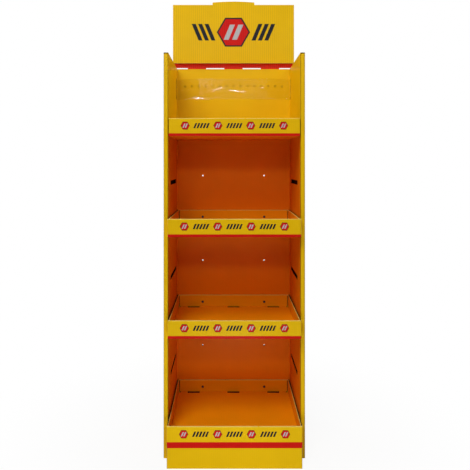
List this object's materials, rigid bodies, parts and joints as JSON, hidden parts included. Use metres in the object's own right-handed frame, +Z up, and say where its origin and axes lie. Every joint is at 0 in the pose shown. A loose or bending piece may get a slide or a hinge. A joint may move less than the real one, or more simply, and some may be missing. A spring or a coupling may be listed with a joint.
{
  "type": "display stand",
  "caption": "Tall floor-standing display stand of folded corrugated card with open trays, side walls, a plinth and a header card.",
  "frame": {"origin": "on the floor, under the centre of the stand's box", "axes": "+Z up, the open front faces -Y, +X to the right seen from the front"},
  "size_m": [0.51, 0.4, 1.7445],
  "materials": {
    "wall_card": "yellow print, gloss varnish",
    "header_card": "yellow print, red foot",
    "tray_card": "yellow print, red lower edge",
    "deck_card": "yellow print",
    "plinth_card": "yellow print, red upper edge",
    "brown_card": "bare brown board",
    "clear_film": "clear flexible film",
    "rivet_plastic": "dark plastic"
  },
  "bodies": {
    "root": {"outer_wrap": "wall_card", "back_panel": "wall_card", "header_card": "header_card", "clear_strip": "clear_film", "plinth": "plinth_card", "plinth_brace": "brown_card", "tray_top": "tray_card", "deck_top": "deck_card", "rivet_top_left": "rivet_plastic", "rivet_top_right": "rivet_plastic", "tray_upper": "tray_card", "deck_upper": "deck_card", "rivet_upper_left": "rivet_plastic", "rivet_upper_right": "rivet_plastic", "tray_lower": "tray_card", "deck_lower": "deck_card", "rivet_lower_left": "rivet_plastic", "rivet_lower_right": "rivet_plastic", "tray_bottom": "tray_card", "deck_bottom": "deck_card", "rivet_bottom_left": "rivet_plastic", "rivet_bottom_right": "rivet_plastic"}
  },
  "joints": []
}
